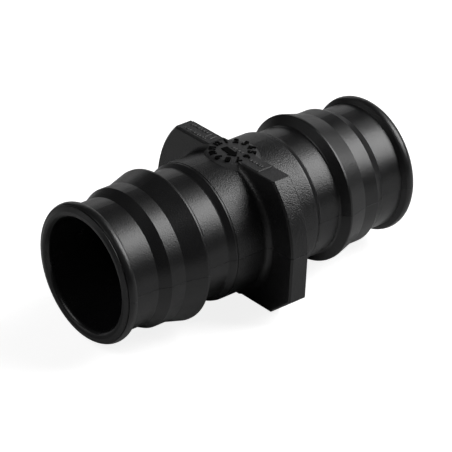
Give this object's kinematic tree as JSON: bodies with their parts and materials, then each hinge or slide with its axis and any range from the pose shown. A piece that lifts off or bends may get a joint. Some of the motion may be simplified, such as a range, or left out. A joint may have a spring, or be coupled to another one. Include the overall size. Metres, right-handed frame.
{
  "type": "pex expansion coupling",
  "caption": "Straight one-piece moulded pipe coupling: barbed inserts with rounded lips on both sides of a winged centre flange, bored right through.",
  "frame": {"origin": "centre of the coupling: on the bore's axis, midway between the two faces of the flange", "axes": "+X along the bore, +Z to the flat crown of the flange, +Y to the wing with the raised pad"},
  "size_m": [0.0604, 0.0342, 0.0254],
  "materials": {
    "black_polymer": "black moulded plastic, satin, smooth on the barbs and finely grained on the body and wings"
  },
  "bodies": {
    "root": {"coupling_body": "black_polymer"}
  },
  "joints": []
}
